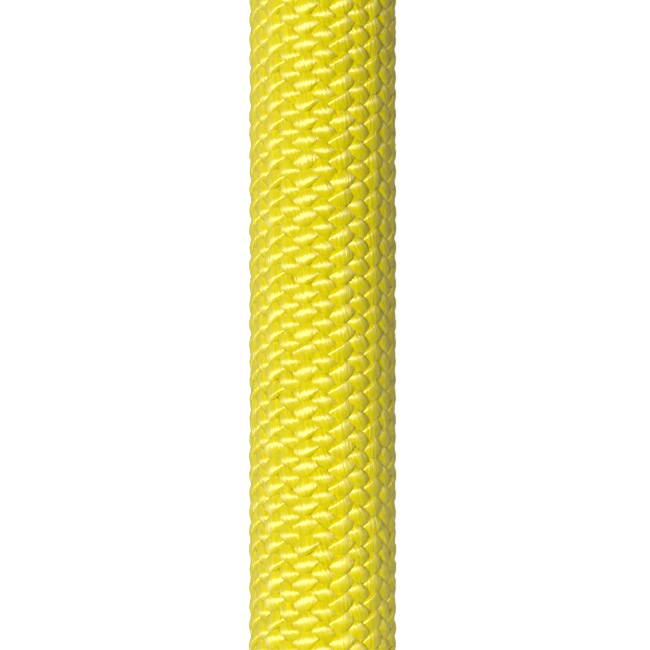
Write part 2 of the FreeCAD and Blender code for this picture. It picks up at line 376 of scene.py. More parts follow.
# The gloss of the yarn's filaments, slightly yellow from the light that passes through them
FILAMENT_GLOSS = {
    "Roughness": 0.42,
    "IOR": 1.6,
    "Specular IOR Level": 1.0,
    "Specular Tint": colour("#FFF9D6"),
    "Anisotropic": 1.0,
}
# Streaks per millimetre across the filaments and along them. Real filaments are about 0.03 mm
# thick, and these are drawn some five times as coarse, so that they show.
STREAKS_ACROSS = 7
STREAKS_ALONG = 0.7


def filament_streaks(tree, uv, across_mm, along_mm):
    """The streaks of the filaments, on a UV map with so many millimetres to its units."""
    place = add(
        tree, "ShaderNodeMapping",
        {"Vector": uv, "Scale": (STREAKS_ACROSS * across_mm, STREAKS_ALONG * along_mm, 1)},
    )["Vector"]
    return add(
        tree, "ShaderNodeTexNoise",
        {"Vector": place, "Scale": 1.0, "Detail": 2.0, "Roughness": 0.6},
    )["Fac"]


def filament_yarn():
    """Dyed polyamide filament yarn, twisted so that its filaments lie along the rope where the
    yarn shows. That draws its gloss out into bands across them, round the rope."""
    made, tree = new_material("dyed_polyamide_filament_yarn")
    uv = add(tree, "ShaderNodeUVMap", uv_map="Filaments")["UV"]
    streaks = filament_streaks(tree, uv, 1, 1)
    shade = add(tree, "ShaderNodeValToRGB", {"Fac": streaks})
    ramp = shade["Color"].node.color_ramp
    ramp.elements[0].position, ramp.elements[0].color = 0.3, colour("#CABA00")
    ramp.elements[1].position, ramp.elements[1].color = 0.7, colour("#E0D400")
    bump = add(
        tree, "ShaderNodeBump", {"Height": streaks, "Strength": 1.0, "Distance": 0.08 * MM}
    )["Normal"]
    tangent = add(tree, "ShaderNodeTangent", direction_type="UV_MAP", uv_map="Filaments")["Tangent"]
    shader = add(
        tree, "ShaderNodeBsdfPrincipled",
        {"Base Color": shade["Color"], "Normal": bump, "Tangent": tangent, **FILAMENT_GLOSS},
    )["BSDF"]
    add(tree, "ShaderNodeOutputMaterial", {"Surface": shader})
    return made


# The braid as the coil's finish draws it: a yarn's thickness and swing, in millimetres
DRAWN_THICKNESS = 0.5
DRAWN_SWING = 0.26
# Half a yarn's width as a share of the spacing of the yarns, in the end bands too
DRAWN_HALF_WIDTH = 0.6
# The heights in millimetres between which the colour runs from the painted shade of the grooves to the
# crowns' yellow, and how much the streaks add to the colour and to the height
GROOVE_HEIGHT = -0.02
CROWN_HEIGHT = 0.3
STREAK_SHADE = 0.3
STREAK_HEIGHT = 0.05


def yarn_ridge(tree, yarn_number, wave):
    """Height in millimetres of the yarns of one hand above the middle of the sheath. The yarns
    lie at the whole yarn numbers, and the wave takes them over and under the other hand."""
    aside = add(tree, "ShaderNodeMath", {0: yarn_number, 1: 0.5}, operation="PINGPONG")["Value"]
    share = add(tree, "ShaderNodeMath", {0: aside, 1: DRAWN_HALF_WIDTH}, operation="DIVIDE")["Value"]
    square = add(tree, "ShaderNodeMath", {0: share, 1: share}, operation="MULTIPLY")["Value"]
    left = add(tree, "ShaderNodeMath", {0: 1.0, 1: square}, operation="SUBTRACT")["Value"]
    inside = add(tree, "ShaderNodeMath", {0: left, 1: 0.0}, operation="MAXIMUM")["Value"]
    rounded = add(tree, "ShaderNodeMath", {0: inside}, operation="SQRT")["Value"]
    crown = add(
        tree, "ShaderNodeMath", {0: rounded, 1: DRAWN_THICKNESS / 2}, operation="MULTIPLY"
    )["Value"]
    return add(
        tree, "ShaderNodeMath", {0: wave, 1: DRAWN_SWING, 2: crown}, operation="MULTIPLY_ADD"
    )["Value"]


def braid_height(tree, uv):
    """Height in millimetres of the whole braid: the upper of the two hands of yarn."""
    place = add(tree, "ShaderNodeSeparateXYZ", {"Vector": uv})
    phase = add(
        tree, "ShaderNodeMath", {0: place["X"], 1: 2 * math.pi * FLOATS_ROUND}, operation="MULTIPLY"
    )["Value"]
    wave = add(tree, "ShaderNodeMath", {0: phase}, operation="COSINE")["Value"]
    opposite = add(tree, "ShaderNodeMath", {0: wave, 1: -1.0}, operation="MULTIPLY")["Value"]
    push = add(tree, "ShaderNodeMath", {0: phase}, operation="SINE")["Value"]
    lays = add(
        tree, "ShaderNodeMath", {0: push, 1: -SNAKE / LAY, 2: place["Y"]}, operation="MULTIPLY_ADD"
    )["Value"]
    leaning_left = add(tree, "ShaderNodeMath", {0: place["X"], 1: lays}, operation="ADD")["Value"]
    left_number = add(
        tree, "ShaderNodeMath", {0: leaning_left, 1: YARNS_EACH_WAY}, operation="MULTIPLY"
    )["Value"]
    leaning_right = add(
        tree, "ShaderNodeMath", {0: place["X"], 1: lays}, operation="SUBTRACT"
    )["Value"]
    right_number = add(
        tree, "ShaderNodeMath", {0: leaning_right, 1: YARNS_EACH_WAY, 2: -0.5}, operation="MULTIPLY_ADD"
    )["Value"]
    left = yarn_ridge(tree, left_number, wave)
    right = yarn_ridge(tree, right_number, opposite)
    return add(tree, "ShaderNodeMath", {0: left, 1: right}, operation="MAXIMUM")["Value"]


def braided_sheath():
    """The same filament yarn, braided two over two, as the finish of the coil's plain tube. Its
    UV map gives turns round the rope in u and lays of the yarn along it in v. Its colour darkens
    from the crowns down into the grooves between the yarns: painted shade."""
    made, tree = new_material("braided_polyamide_sheath")
    uv = add(tree, "ShaderNodeUVMap", uv_map="Round")["UV"]
    height = braid_height(tree, uv)
    streaks = filament_streaks(tree, uv, 2 * math.pi * rope_radius / MM, LAY / MM)
    painted_groove_shade = add(
        tree, "ShaderNodeMapRange",
        {
            "Value": height,
            "From Min": GROOVE_HEIGHT,
            "From Max": CROWN_HEIGHT,
            "To Min": 0.0,
            "To Max": 1 - STREAK_SHADE,
        },
    )["Result"]
    # Painted shade: the colour darkens with the braid's height, deepest in the grooves between the
    # yarns
    tone = add(
        tree, "ShaderNodeMath", {0: streaks, 1: STREAK_SHADE, 2: painted_groove_shade}, operation="MULTIPLY_ADD"
    )["Value"]
    shade = add(tree, "ShaderNodeValToRGB", {"Fac": tone})
    ramp = shade["Color"].node.color_ramp
    ramp.elements[0].position, ramp.elements[0].color = 0.1, colour("#7D7000")
    ramp.elements[1].position, ramp.elements[1].color = 0.9, colour("#E2D600")
    ramp.elements.new(0.45).color = colour("#CEBE00")
    relief = add(
        tree, "ShaderNodeMath", {0: streaks, 1: STREAK_HEIGHT, 2: height}, operation="MULTIPLY_ADD"
    )["Value"]
    bump = add(tree, "ShaderNodeBump", {"Height": relief, "Strength": 1.0, "Distance": MM})["Normal"]
    tangent = add(tree, "ShaderNodeTangent", direction_type="UV_MAP", uv_map="Round")["Tangent"]
    shader = add(
        tree, "ShaderNodeBsdfPrincipled",
        {"Base Color": shade["Color"], "Normal": bump, "Tangent": tangent, **FILAMENT_GLOSS},
    )["BSDF"]
    add(tree, "ShaderNodeOutputMaterial", {"Surface": shader})
    return made


# The melt's brown blotches and its pits
BLOTCHES_PER_METRE = 0.9 / MM
PITS_PER_METRE = 3.5 / MM


def melted_polyamide():
    """Polyamide yarn that a hot knife melted and left to set: amber, browned here and there, and
    glossy where it ran."""
    made, tree = new_material("hot_cut_polyamide")
    place = add(tree, "ShaderNodeTexCoord")["Object"]
    blotches = add(
        tree, "ShaderNodeTexNoise",
        {
            "Vector": place,
            "Scale": BLOTCHES_PER_METRE,
            "Detail": 4.0,
            "Roughness": 0.65,
            "Distortion": 0.8,
        },
    )["Fac"]
    shade = add(tree, "ShaderNodeValToRGB", {"Fac": blotches})
    ramp = shade["Color"].node.color_ramp
    ramp.elements[0].position, ramp.elements[0].color = 0.3, colour("#6E5410")
    ramp.elements[1].position, ramp.elements[1].color = 0.68, colour("#CDBE2C")
    ramp.elements.new(0.48).color = colour("#AE9A18")
    pits = add(
        tree, "ShaderNodeTexNoise", {"Vector": place, "Scale": PITS_PER_METRE, "Detail": 3.0}
    )["Fac"]
    gloss = add(
        tree, "ShaderNodeMapRange", {"Value": pits, "To Min": 0.2, "To Max": 0.5}
    )["Result"]
    bump = add(
        tree, "ShaderNodeBump", {"Height": pits, "Strength": 0.7, "Distance": 0.1 * MM}
    )["Normal"]
    shader = add(
        tree, "ShaderNodeBsdfPrincipled",
        {
            "Base Color": shade["Color"],
            "Roughness": gloss,
            "IOR": 1.53,
            "Subsurface Weight": 0.15,
            "Subsurface Radius": (0.8, 0.6, 0.15),
            "Subsurface Scale": 1 * MM,
            "Normal": bump,
        },
    )["BSDF"]
    add(tree, "ShaderNodeOutputMaterial", {"Surface": shader})
    return made


# Lines that a die or a slitter leaves along Y, per metre across them and along them. Both are
# drawn coarser than they are, so that they show.
DIE_LINES = (4 / MM, 0.15 / MM, 4 / MM)
FILM_LINES = (9 / MM, 0.2 / MM, 9 / MM)


def shrunk_tube():
    """Extruded black polyolefin tube, shrunk on with hot air: satin, with faint lines along it
    from the die."""
    made, tree = new_material("shrunk_polyolefin_tube")
    place = add(tree, "ShaderNodeTexCoord")["Object"]
    lines = add(tree, "ShaderNodeMapping", {"Vector": place, "Scale": DIE_LINES})["Vector"]
    grain = add(
        tree, "ShaderNodeTexNoise", {"Vector": lines, "Scale": 1.0, "Detail": 3.0}
    )["Fac"]
    shade = add(tree, "ShaderNodeValToRGB", {"Fac": grain})
    ramp = shade["Color"].node.color_ramp
    ramp.elements[0].position, ramp.elements[0].color = 0.3, colour("#222224")
    ramp.elements[1].position, ramp.elements[1].color = 0.7, colour("#343437")
    gloss = add(
        tree, "ShaderNodeMapRange", {"Value": grain, "To Min": 0.36, "To Max": 0.52}
    )["Result"]
    bump = add(
        tree, "ShaderNodeBump", {"Height": grain, "Strength": 0.6, "Distance": 0.03 * MM}
    )["Normal"]
    shader = add(
        tree, "ShaderNodeBsdfPrincipled",
        {"Base Color": shade["Color"], "Roughness": gloss, "IOR": 1.5, "Normal": bump},
    )["BSDF"]
    add(tree, "ShaderNodeOutputMaterial", {"Surface": shader})
    return made


# The tape's ribs and its weft, in millimetres, and its fluff, in tufts to a millimetre
RIB_PITCH = 0.8
WEFT_PITCH = 0.55
FLUFF_PER_MM = 5.0
# How high the weft stands beside the ribs, and how much of the tape's colour comes from its height:
# painted shade, darker in the hollows of the weave
WEAVE_SHARE = 0.6
PAINTED_HOLLOW_SHADE = 0.35


def woven_tape():
    """Plain-woven spun polyester tape: dull ribs along it, crossed by a finer weft, with painted
    shade in the hollows of the weave. Its UV map gives millimetres across the tape in u and
    along it in v."""
    made, tree = new_material("woven_polyester_tape")
    uv = add(tree, "ShaderNodeUVMap", uv_map="Tape")["UV"]
    place = add(tree, "ShaderNodeSeparateXYZ", {"Vector": uv})
    across = add(
        tree, "ShaderNodeMath", {0: place["X"], 1: math.pi / RIB_PITCH}, operation="MULTIPLY"
    )["Value"]
    along = add(
        tree, "ShaderNodeMath", {0: place["Y"], 1: math.pi / WEFT_PITCH}, operation="MULTIPLY"
    )["Value"]
    warp = add(tree, "ShaderNodeMath", {0: across}, operation="SINE")["Value"]
    weft = add(tree, "ShaderNodeMath", {0: along}, operation="SINE")["Value"]
    weave = add(tree, "ShaderNodeMath", {0: warp, 1: weft}, operation="MULTIPLY")["Value"]
    ribs = add(tree, "ShaderNodeMath", {0: warp}, operation="ABSOLUTE")["Value"]
    height = add(
        tree, "ShaderNodeMath", {0: weave, 1: WEAVE_SHARE, 2: ribs}, operation="MULTIPLY_ADD"
    )["Value"]
    fluff = add(
        tree, "ShaderNodeTexNoise",
        {"Vector": uv, "Scale": FLUFF_PER_MM, "Detail": 3.0, "Roughness": 0.7},
    )["Fac"]
    # Painted shade: the tape is darker where the weave lies low
    tone = add(
        tree, "ShaderNodeMath", {0: height, 1: PAINTED_HOLLOW_SHADE, 2: fluff}, operation="MULTIPLY_ADD"
    )["Value"]
    shade = add(tree, "ShaderNodeValToRGB", {"Fac": tone})
    ramp = shade["Color"].node.color_ramp
    ramp.elements[0].position, ramp.elements[0].color = 0.25, colour("#303235")
    ramp.elements[1].position, ramp.elements[1].color = 1.0, colour("#7C8085")
    bump = add(
        tree, "ShaderNodeBump", {"Height": height, "Strength": 0.9, "Distance": 0.16 * MM}
    )["Normal"]
    shader = add(
        tree, "ShaderNodeBsdfPrincipled",
        {
            "Base Color": shade["Color"],
            "Roughness": 0.75,
            "Specular IOR Level": 0.35,
            "Sheen Weight": 0.25,
            "Sheen Roughness": 0.5,
            "Normal": bump,
        },
    )["BSDF"]
    add(tree, "ShaderNodeOutputMaterial", {"Surface": shader})
    return made


# At a scale of 1, a wave texture's bands lie this far apart
WAVE_SPACING = 2 * math.pi / 20
PLY_SLANT = math.radians(35)


def twisted_yarn(name, ply_groove_shade, bright, twist, gloss):
    """Yarn or strand twisted from plies of polyamide filament, which lies along Y: slanting
    ridges, one twist length apart, with painted shade in the grooves between the plies."""
    made, tree = new_material(name)
    place = add(tree, "ShaderNodeTexCoord")["Object"]
    slant = add(
        tree, "ShaderNodeMapping", {"Vector": place, "Rotation": (PLY_SLANT, 0, PLY_SLANT)}
    )["Vector"]
    plies = add(
        tree, "ShaderNodeTexWave",
        {"Vector": slant, "Scale": WAVE_SPACING / twist, "Distortion": 0.6, "Detail": 1.0},
        bands_direction="Y",
    )["Fac"]
    # Painted shade: the colour follows the ridges' relief, dark in the grooves between the plies and
    # bright on their tops
    shade = add(tree, "ShaderNodeValToRGB", {"Fac": plies})
    ramp = shade["Color"].node.color_ramp
    ramp.elements[0].position, ramp.elements[0].color = 0.05, colour(ply_groove_shade)
    ramp.elements[1].position, ramp.elements[1].color = 0.6, colour(bright)
    bump = add(
        tree, "ShaderNodeBump", {"Height": plies, "Strength": 1.0, "Distance": 0.15 * MM}
    )["Normal"]
    shader = add(
        tree, "ShaderNodeBsdfPrincipled",
        {"Base Color": shade["Color"], "Roughness": gloss, "IOR": 1.53, "Normal": bump},
    )["BSDF"]
    add(tree, "ShaderNodeOutputMaterial", {"Surface": shader})
    return made


def drawn_film():
    """Thin polyester film, slit and drawn: smooth, with faint scratches along it."""
    made, tree = new_material("polyester_film_tape")
    place = add(tree, "ShaderNodeTexCoord")["Object"]
    lines = add(tree, "ShaderNodeMapping", {"Vector": place, "Scale": FILM_LINES})["Vector"]
    scratches = add(tree, "ShaderNodeTexNoise", {"Vector": lines, "Scale": 1.0, "Detail": 2.0})["Fac"]
    shade = add(tree, "ShaderNodeValToRGB", {"Fac": scratches})
    ramp = shade["Color"].node.color_ramp
    ramp.elements[0].position, ramp.elements[0].color = 0.35, colour("#E4E4E0")
    ramp.elements[1].position, ramp.elements[1].color = 0.65, colour("#F4F4F0")
    gloss = add(
        tree, "ShaderNodeMapRange", {"Value": scratches, "To Min": 0.25, "To Max": 0.45}
    )["Result"]
    shader = add(
        tree, "ShaderNodeBsdfPrincipled",
        {"Base Color": shade["Color"], "Roughness": gloss, "IOR": 1.6},
    )["BSDF"]
    add(tree, "ShaderNodeOutputMaterial", {"Surface": shader})
    return made


yarn_material = filament_yarn()
sheath_material = braided_sheath()
melt_material = melted_polyamide()
band_material = shrunk_tube()
tape_material = woven_tape()
# The first colour of each is the painted shade of the grooves between its plies
thread_material = twisted_yarn("twisted_sewing_thread", "#8E9194", "#D8DADC", 0.5 * MM, 0.5)
strand_material = twisted_yarn("white_twisted_core_strand", "#C9C6BC", "#F3F1EA", 2.4 * MM, 0.45)
tracer_material = twisted_yarn("dyed_tracer_yarn", "#173B78", "#2E63B4", 0.8 * MM, 0.5)
film_material = drawn_film()


# The braid, yarn by yarn

LEAD_YARN_SIDES = 12
TAIL_YARN_SIDES = 8
# A yarn goes over and under in 20 fine steps where the camera looks, and in 8 coarse ones elsewhere
FINE_STEP = 2 * PICK / 20
COARSE_STEP = 2 * PICK / 8
FINE_START = 27 * MM
FINE_END = 77 * MM

YarnLine = namedtuple("YarnLine", "points out across wave angles along step_round step_along")


def wander(draw, distances, size):
    """A small seeded irregularity along a yarn, of about the given size."""
    lengths = draw.uniform(*WANDER_LENGTHS, WANDER_WAVES)
    starts = draw.uniform(0, 2 * math.pi, WANDER_WAVES)
    waves = np.sin(2 * math.pi * distances[:, None] / lengths + starts)
    return size * math.sqrt(2 / WANDER_WAVES) * np.sum(waves, -1)


def yarn_line(hand, number, distances):
    """The middle of one yarn of the braid, with the directions outwards and across it, the wave
    that takes it over and under, its angles round the rope and distances along it, and how far a
    step across it leads round the rope and along it."""
    shape = YARN_SHAPES[hand]
    own_angle = 2 * math.pi * number / YARNS_EACH_WAY
    if hand > 0:
        own_angle += math.pi / YARNS_EACH_WAY
    angles = own_angle + hand * 2 * math.pi * (distances - BRAID_START) / LAY
    phases = FLOATS_ROUND * angles
    wave = (1 + CROWN_FLATNESS) * np.cos(phases) - CROWN_FLATNESS * np.cos(3 * phases)
    if hand > 0:
        wave = -wave
    draw = np.random.default_rng([YARNS_EACH_WAY * (hand + 1) + number])
    radii = rope_radius - shape.thickness / 2 - shape.swing * (1 - wave)
    radii += wander(draw, distances, WANDER / 2)
    from_end = np.minimum(distances, route_length - distances)
    radii -= NECK_DEPTH * (1 - smooth((from_end - BAND_END) / NECK_EASE))
    distances = distances + SNAKE * np.sin(phases) + wander(draw, distances, WANDER)
    places, ups, sideways = along_route(distances)
    turn = (angles + WALE_TURN)[:, None]
    outwards = ups * np.cos(turn) + sideways * np.sin(turn)
    around = sideways * np.cos(turn) - ups * np.sin(turn)
    points = places + outwards * radii[:, None]
    ways = unit(np.gradient(points, axis=0))
    out = unit(outwards - ways * np.sum(outwards * ways, -1, keepdims=True))
    out = unit(out + np.cross(ways, out) * np.tan(wander(draw, distances, ROLL))[:, None])
    across = np.cross(ways, out)
    step_round = np.sum(across * around, -1)
    step_along = np.sum(across * np.cross(ups, sideways), -1)
    return YarnLine(points, out, across, wave, angles, distances, step_round, step_along)


def braid(stations, yarn_sides, finish_yarn):
    """Makes the 48 yarns along a stretch of the rope, and hands each to finish_yarn. A yarn's UV
    map gives millimetres across its filaments in u and along them in v."""
    stock, rings, sides = rolled_tube("yarn", len(stations), yarn_sides, "Filaments")
    corners = corners_of(stock)
    for hand, shape in YARN_SHAPES.items():
        section = oval_section(yarn_sides, shape.thickness, YARN_WIDTH, shape.squareness)
        high, wide = (part[sides] for part in section)
        cosine, sine = math.cos(shape.filament_turn), math.sin(shape.filament_turn)
        for number in range(YARNS_EACH_WAY):
            line = yarn_line(hand, number, stations)
            aside = wide * (1 + shape.spread * line.wave[rings])
            points = line.points[rings] + line.out[rings] * high[:, None]
            mesh = placed(stock.copy(), points + line.across[rings] * aside[:, None])
            round_mm = (line.angles[rings] * rope_radius + line.step_round[rings] * aside) / MM
            along_mm = (line.along[rings] + line.step_along[rings] * aside) / MM
            u = round_mm * cosine + along_mm * sine
            v = along_mm * cosine - round_mm * sine
            set_uv(mesh, u[corners], v[corners])
            finish_yarn(hand, number, mesh)
    bpy.data.meshes.remove(stock)


def lead_yarn(hand, number, mesh):
    """Each yarn of the lead is a piece of its own."""
    piece(f"lead_yarn_{HAND_NAMES[hand]}_{number + 1:02d}", mesh, yarn_material)


tail_meshes = {hand: [] for hand in YARN_SHAPES}


def tail_yarn(hand, number, mesh):
    """The tail's yarns are kept, to be joined by hand."""
    tail_meshes[hand].append(mesh)


lead_stations = np.concatenate([
    np.arange(SHEATH_START, FINE_START, COARSE_STEP),
    np.arange(FINE_START, FINE_END, FINE_STEP),
    np.arange(FINE_END, lead_change, COARSE_STEP),
])
tail_stations = np.arange(tail_change, route_length - SHEATH_START, COARSE_STEP)
braid(lead_stations, LEAD_YARN_SIDES, lead_yarn)
braid(tail_stations, TAIL_YARN_SIDES, tail_yarn)
for hand, hand_name in HAND_NAMES.items():
    tail_name = f"tail_yarns_{hand_name}"
    piece(tail_name, joined(tail_name, tail_meshes[hand]), yarn_material)


# The rope in the coil, and the sheath's inner face in the lead and the tail: one tube, which
# narrows in a few short steps where the yarns take over from its finish

TUBE_SIDES = 24
TUBE_STEP = 8.7 * MM
CHANGE_REACH = 3 * MM
CHANGE_SHARES = (-1, -0.5, 0, 0.5, 1)
UNDER_BRAID = 4.0 * MM


def stations_between(start, end, with_end=False):
    """Distances along the rope about one tube step apart, without the start."""
    return np.linspace(start, end, round((end - start) / TUBE_STEP), endpoint=with_end)[1:]


def rope_tube():
    """The tube's mesh, with its UV map in turns round the rope and lays of the braid along it."""
    lead_steps = [lead_change + CHANGE_REACH * share for share in CHANGE_SHARES]
    tail_steps = [tail_change + CHANGE_REACH * share for share in CHANGE_SHARES]
    stations = np.concatenate([
        [MELT_CAP],
        stations_between(MELT_CAP, lead_steps[0]),
        lead_steps,
        stations_between(lead_steps[-1], tail_steps[0]),
        tail_steps,
        stations_between(tail_steps[-1], route_length - MELT_CAP, with_end=True),
    ])
    mesh, rings, sides = rolled_tube("rope_body", len(stations), TUBE_SIDES, "Round")
    places, ups, sideways = along_route(stations)
    whole_rope = smooth((stations - lead_change) / CHANGE_REACH + 0.5)
    whole_rope *= smooth((tail_change - stations) / CHANGE_REACH + 0.5)
    radii = UNDER_BRAID + (rope_radius - UNDER_BRAID) * whole_rope
    angles = (2 * math.pi * sides / TUBE_SIDES)[:, None]
    out = ups[rings] * np.cos(angles) + sideways[rings] * np.sin(angles)
    placed(mesh, places[rings] + out * radii[rings][:, None])
    uv = np.zeros(2 * len(mesh.loops), np.float32)
    mesh.uv_layers[0].data.foreach_get("uv", uv)
    set_uv(mesh, uv[0::2], stations[rings[corners_of(mesh)]] / LAY)
    return mesh


rope_body = piece("rope_body", rope_tube(), sheath_material)
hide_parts("lead_sheath", "coil_sheath", "tail_sheath")


# The ends of the rope

END_STEPS = 96
BAND_RINGS = 120
BAND_RELIEF = 0.22
BAND_EDGE = 0.1 * MM
CAP_DEPTH = 1.3 * MM
CAP_SQUARENESS = 3.2
CAP_RINGS = 18
LUMP_SIZE = 0.12 * MM
LUMP_PITCH = 1.1 * MM


def braid_relief(angle, distance):
    """How far the braid's surface lies below its crowns, round the rope and along it."""
    phase = FLOATS_ROUND * angle
    lays = (distance - SNAKE * math.sin(phase)) / LAY
    heights = []
    for hand, shape in YARN_SHAPES.items():
        number = YARNS_EACH_WAY * (angle / (2 * math.pi) - hand * lays) - (hand > 0) / 2
        aside = abs(number - round(number)) / DRAWN_HALF_WIDTH
        crown = shape.thickness / 2 * math.sqrt(1 - aside * aside)
        heights.append(crown - shape.thickness / 2 - shape.swing * (1 + hand * math.cos(phase)))
    return max(heights)


def band_profile():
    """The band's section: its bore, its far edge, its outside in fine steps, and its near edge."""
    outside = BAND_INSIDE + BAND_WALL
    steps = np.linspace(BAND_END - BAND_EDGE, BAND_START + BAND_EDGE, BAND_RINGS)
    return [
        (BAND_START, BAND_INSIDE),
        (BAND_END, BAND_INSIDE),
        (BAND_END, outside - BAND_EDGE),
        *((along, outside) for along in steps),
        (BAND_START, outside - BAND_EDGE),
    ]


def band_shape(place):
    """The braid shows faintly through the shrunk tube."""
    radius = math.hypot(place.x, place.z)
    if radius < BAND_INSIDE + BAND_WALL / 2:
        return place
    relief = BAND_RELIEF * braid_relief(math.atan2(place.x, place.z), place.y)
    grown = (radius + relief) / radius
    return Vector((place.x * grown, place.y, place.z * grown))


def melt_profile():
    """The melted end's section: a blunt rounded face, the cap's side, and the plug inside."""
    power = 2 / CAP_SQUARENESS
    face = [
        (CAP_DEPTH * (1 - max(math.cos(angle), 0) ** power), MELT_RADIUS * math.sin(angle) ** power)
        for angle in np.linspace(0, math.pi / 2, CAP_RINGS)
    ]
    plug_end = MELT_CAP + MELT_PLUG
    return face + [
        (MELT_CAP, MELT_RADIUS),
        (MELT_CAP, PLUG_RADIUS),
        (plug_end, PLUG_RADIUS),
        (plug_end, 0),
    ]


def melt_shape(place):
    """The front of the melt set in lumps."""
    if place.y > MELT_CAP / 2:
        return place
    lump = LUMP_SIZE * (noise.noise(place / LUMP_PITCH) - 0.5)
    radius = math.hypot(place.x, place.z)
    inwards = Vector((place.x, 0, place.z)) * (lump / MELT_RADIUS)
    return place + inwards - Vector((0, lump * (1 - radius / rope_radius), 0))


def rope_end(name, tip):
    mesh = turned(f"{name}_band", band_profile(), True, END_STEPS, tip, band_shape)
    band = piece(f"{name}_shrunk_band", mesh, band_material)
    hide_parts(f"{name}_end_band")
    mesh = turned(f"{name}_melt", melt_profile(), False, END_STEPS, tip, melt_shape)
    melt = piece(f"{name}_melted_end", mesh, melt_material)
    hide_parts(f"{name}_fused_end")


rope_end("lead", Vector((0, -LEAD_BELOW, 0)))
rope_end("tail", Vector(route[-1]))


# The ties

TAPE_STEP = 0.8 * MM
TAPE_FINE_STEPS = 4
TAPE_SIDES = 24
TAPE_SQUARENESS = 6
TAPE_RISE = 2.9 * MM
STITCH_LENGTH = 2.3 * MM
STITCH_PITCH = 2.9 * MM
STITCH_FLATNESS = 0.7
STITCH_SEGMENTS = 10
STITCH_RINGS = 8
THREAD_RADIUS = 0.28 * MM
SEAM_WIDTH = 14 * MM
SEAM_HEIGHT = 21 * MM


def tie_window(angle):
    """The opening inside a tie, across the bundle of turns and up: its sides from the coil's
    middle, and its top above the surface."""
    first_pass = ((180 - angle) % 360) / 360
    passes = [first_pass + k for k in range(LAYERS * LANES) if first_pass + k <= turns]
    radii = [coil_radius - lane_offset(turn) for turn in passes]
    inside = min(radii) - rope_radius
    inside = math.sqrt(inside ** 2 - (TIE_WIDTH / 2) ** 2) - TIE_GAP
    outside = max(radii) + rope_radius + TIE_GAP
    top = coil_height(turns) + ROPE_DIAMETER + TIE_GAP
    return inside, outside, top


def tape_line(inside, outside, top):
    """Where the tape's middle goes, from its covered end round the bundle to its sewn end, as
    distances along it, places across and up, and how each faces outwards. It is laid out in fine
    steps and kept in coarser ones."""
    middle = (top + TIE_THICKNESS) / 2
    straights = (
        middle + TIE_OVERLAP / 2 - TIE_THICKNESS - rope_radius,
        outside - inside - 2 * rope_radius,
        top - TIE_THICKNESS - 2 * rope_radius,
        outside - inside - 2 * rope_radius,
        top - rope_radius - middle + TIE_OVERLAP / 2,
    )
    bend = math.pi / 2 * (rope_radius + TIE_THICKNESS / 2)
    marks, headings = [0], [-math.pi / 2]
    for straight in straights:
        marks += [marks[-1] + straight, marks[-1] + straight + bend]
        headings += [headings[-1], headings[-1] - math.pi / 2]
    length, last_bend = marks[-2], marks[-3]
    along = np.linspace(0, length, round(length / TAPE_STEP) * TAPE_FINE_STEPS + 1)
    heading = np.interp(along, marks, headings)
    steps = np.stack([np.cos(heading), np.sin(heading)], -1) * along[1]
    ways = (steps[1:] + steps[:-1]) / 2
    line = np.concatenate([[[0, 0]], np.cumsum(ways, 0)])
    line += (outside + TIE_THICKNESS / 2, middle + TIE_OVERLAP / 2)
    facing = np.stack([-np.sin(heading), np.cos(heading)], -1)
    line += facing * (TIE_THICKNESS * smooth((along - last_bend) / TAPE_RISE))[:, None]
    return along[::TAPE_FINE_STEPS], line[::TAPE_FINE_STEPS], facing[::TAPE_FINE_STEPS]


def tape(name, angle, place):
    """The tape: flat, with rounded selvedges, and its end laid over its start."""
    along, line, facing = tape_line(*tie_window(angle))
    mesh, rings, sides = rolled_tube(name, len(along), TAPE_SIDES, "Tape")
    section = oval_section(TAPE_SIDES, TIE_THICKNESS, TIE_WIDTH, TAPE_SQUARENESS)
    high, wide = (part[sides] for part in section)
    across_up = line[rings] + facing[rings] * high[:, None]
    placed(mesh, np.stack([across_up[:, 0], wide, across_up[:, 1]], -1))
    corners = corners_of(mesh)
    set_uv(mesh, wide[corners] / MM, along[rings[corners]] / MM)
    mesh.transform(place)
    return mesh


def seam(name, angle, place):
    """Stitches of heavy thread round the tape's end, and a cross inside them."""
    _, outside, top = tie_window(angle)
    middle = (top + TIE_THICKNESS) / 2
    left, right = -SEAM_WIDTH / 2, SEAM_WIDTH / 2
    low, high = middle - SEAM_HEIGHT / 2, middle + SEAM_HEIGHT / 2
    lines = (
        ((left, low), (right, low)),
        ((left, high), (right, high)),
        ((left, low), (left, high)),
        ((right, low), (right, high)),
        ((left, low), (right, high)),
        ((left, high), (right, low)),
    )
    flat = THREAD_RADIUS * STITCH_FLATNESS
    bm = bmesh.new()
    for start, end in lines:
        way = Vector(end) - Vector(start)
        count = round(way.length / STITCH_PITCH)
        for k in range(count):
            y, z = Vector(start) + way * ((k + 0.5) / count)
            stitch = Matrix.Translation((outside + 2 * TIE_THICKNESS, y, z))
            stitch @= Matrix.Rotation(-math.atan2(way.x, way.y), 4, "X")
            stitch @= Matrix.Diagonal((flat, THREAD_RADIUS, STITCH_LENGTH / 2, 1))
            bmesh.ops.create_uvsphere(
                bm, u_segments=STITCH_SEGMENTS, v_segments=STITCH_RINGS, radius=1, matrix=stitch
            )
    for face in bm.faces:
        face.smooth = True
    mesh = bpy.data.meshes.new(name)
    bm.to_mesh(mesh)
    bm.free()
    mesh.transform(place)
    return mesh


for tie_number, tie_angle in enumerate(TIE_ANGLES, start=1):
    tie_place = Matrix.Translation((coil_radius, LEAD_ABOVE, -rope_radius))
    tie_place @= Matrix.Rotation(math.radians(tie_angle), 4, "Z")
    tie_name = f"coil_tie_{tie_number}"
    sewn = piece(f"{tie_name}_tape", tape(tie_name, tie_angle, tie_place), tape_material)
    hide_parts(tie_name)
    piece(f"{tie_name}_seam", seam(tie_name, tie_angle, tie_place), thread_material)


# The core, as it is in the frame


